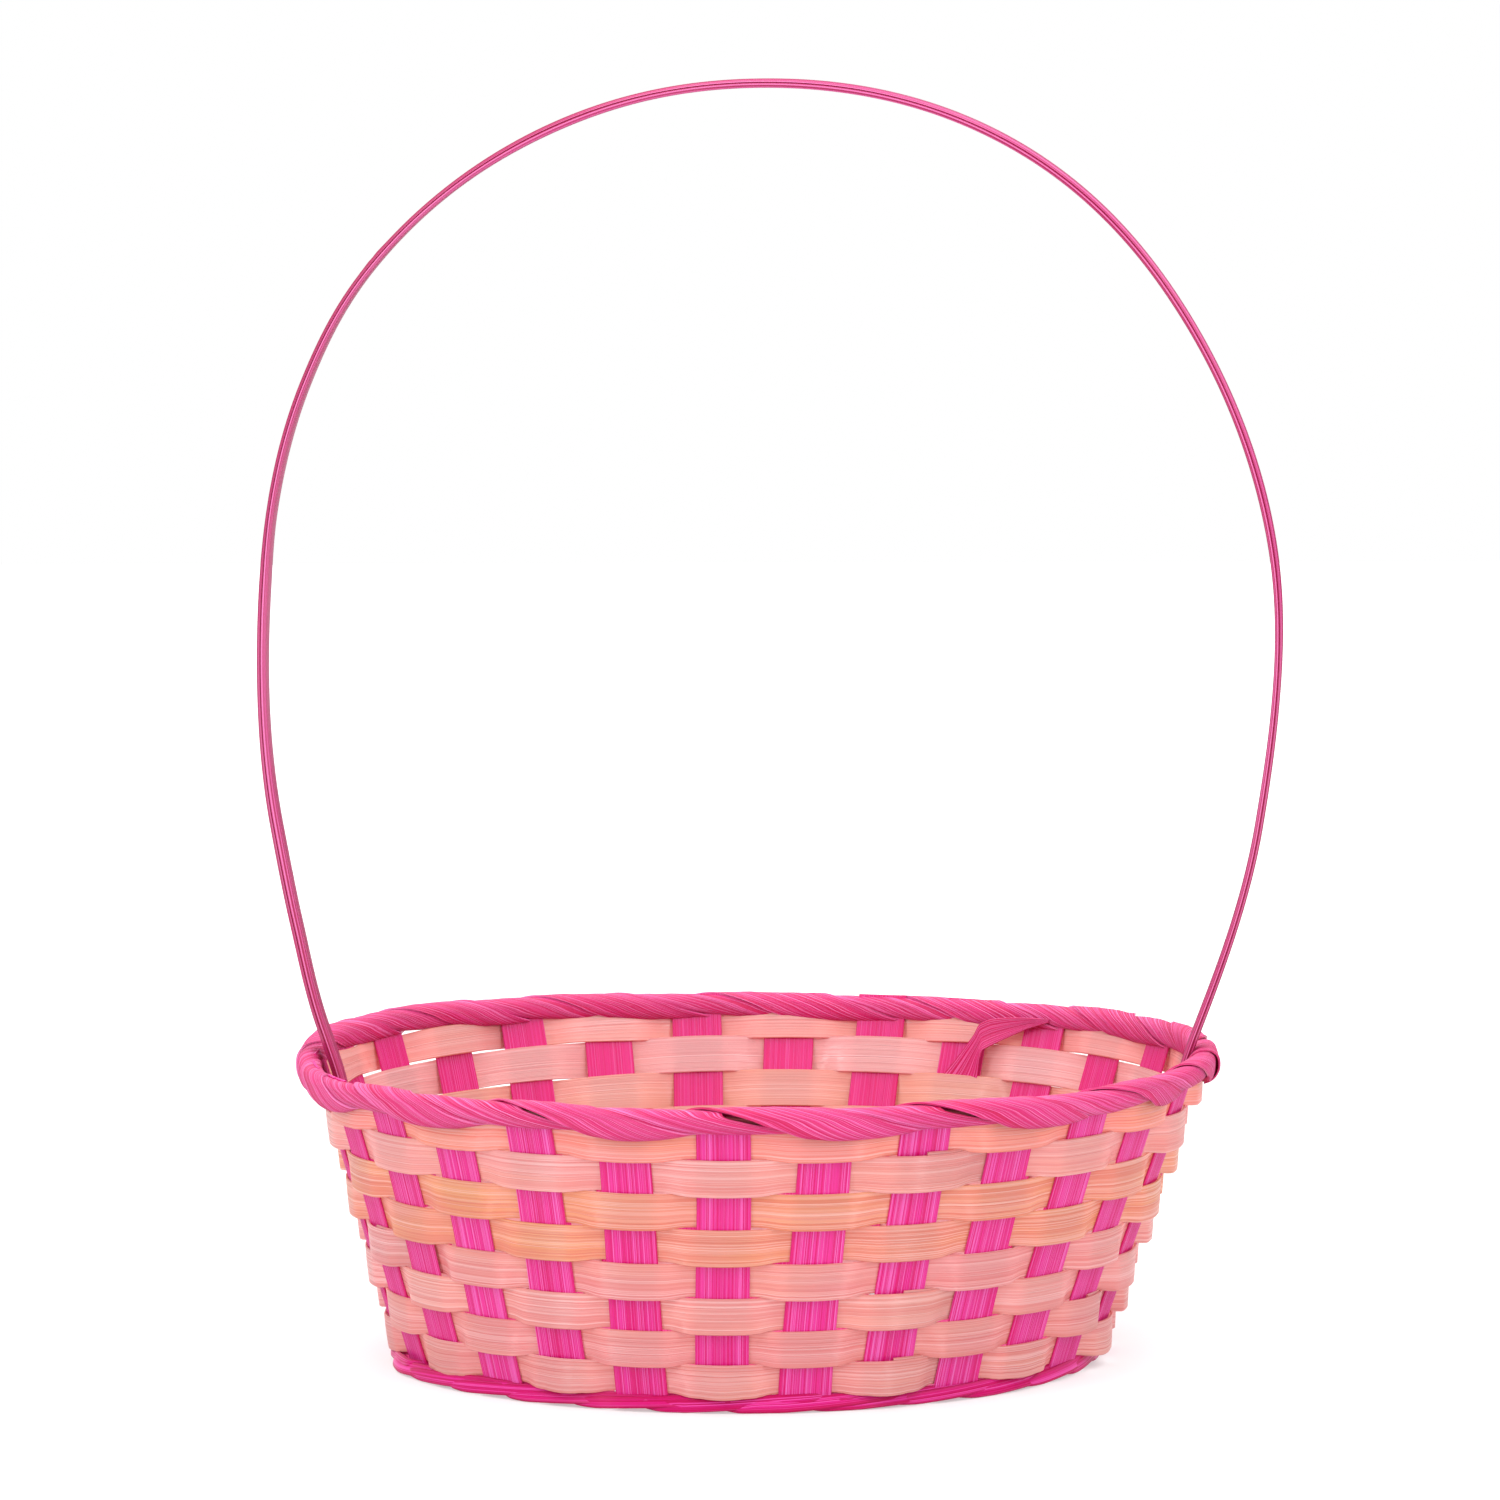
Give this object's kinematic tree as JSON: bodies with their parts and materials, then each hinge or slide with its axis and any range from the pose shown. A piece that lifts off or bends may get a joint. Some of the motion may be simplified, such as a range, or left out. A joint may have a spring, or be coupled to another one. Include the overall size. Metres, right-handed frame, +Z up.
{
  "type": "easter basket",
  "caption": "Round woven wood-strip basket with flared plain-woven walls, a wrapped rim, twined foot and one tall fixed hoop handle for carrying small gifts.",
  "frame": {"origin": "middle of the basket's foot, on the floor it stands on", "axes": "+Z up, the handle stands in the XZ plane, and -Y is the front"},
  "size_m": [0.311, 0.2802, 0.3855],
  "materials": {
    "stake_wood": "dyed hot pink wood chip strip with fine straight grain, satin",
    "weaver_peach": "dyed pinkish peach wood chip strip with long straight grain, satin",
    "weaver_orange": "dyed peach orange wood chip strip with long straight grain, satin",
    "binding_wood": "dyed pink wood chip strip, wound and creased, satin",
    "twine_wood": "dyed dark pink split strands, fibrous",
    "hoop_wood": "undyed split bamboo, matt",
    "handle_bamboo": "dyed pink split bamboo with long grooves, satin"
  },
  "bodies": {
    "root": {"stake_strip_01": "stake_wood", "stake_strip_02": "stake_wood", "stake_strip_03": "stake_wood", "stake_strip_04": "stake_wood", "stake_strip_05": "stake_wood", "stake_strip_06": "stake_wood", "stake_strip_07": "stake_wood", "stake_strip_08": "stake_wood", "stake_strip_09": "stake_wood", "stake_strip_10": "stake_wood", "stake_strip_11": "stake_wood", "stake_strip_12": "stake_wood", "stake_strip_13": "stake_wood", "stake_strip_14": "stake_wood", "weaver_row_1": "weaver_orange", "weaver_row_2": "weaver_peach", "weaver_row_3": "weaver_orange", "weaver_row_4": "weaver_orange", "weaver_row_5": "weaver_peach", "weaver_row_6": "weaver_peach", "weaver_row_7": "weaver_peach", "weaver_row_8": "weaver_peach", "foot_twine_1": "twine_wood", "foot_twine_2": "twine_wood", "rim_hoop_outer": "hoop_wood", "rim_hoop_inner": "hoop_wood", "rim_binding": "binding_wood", "handle": "handle_bamboo"}
  },
  "joints": []
}
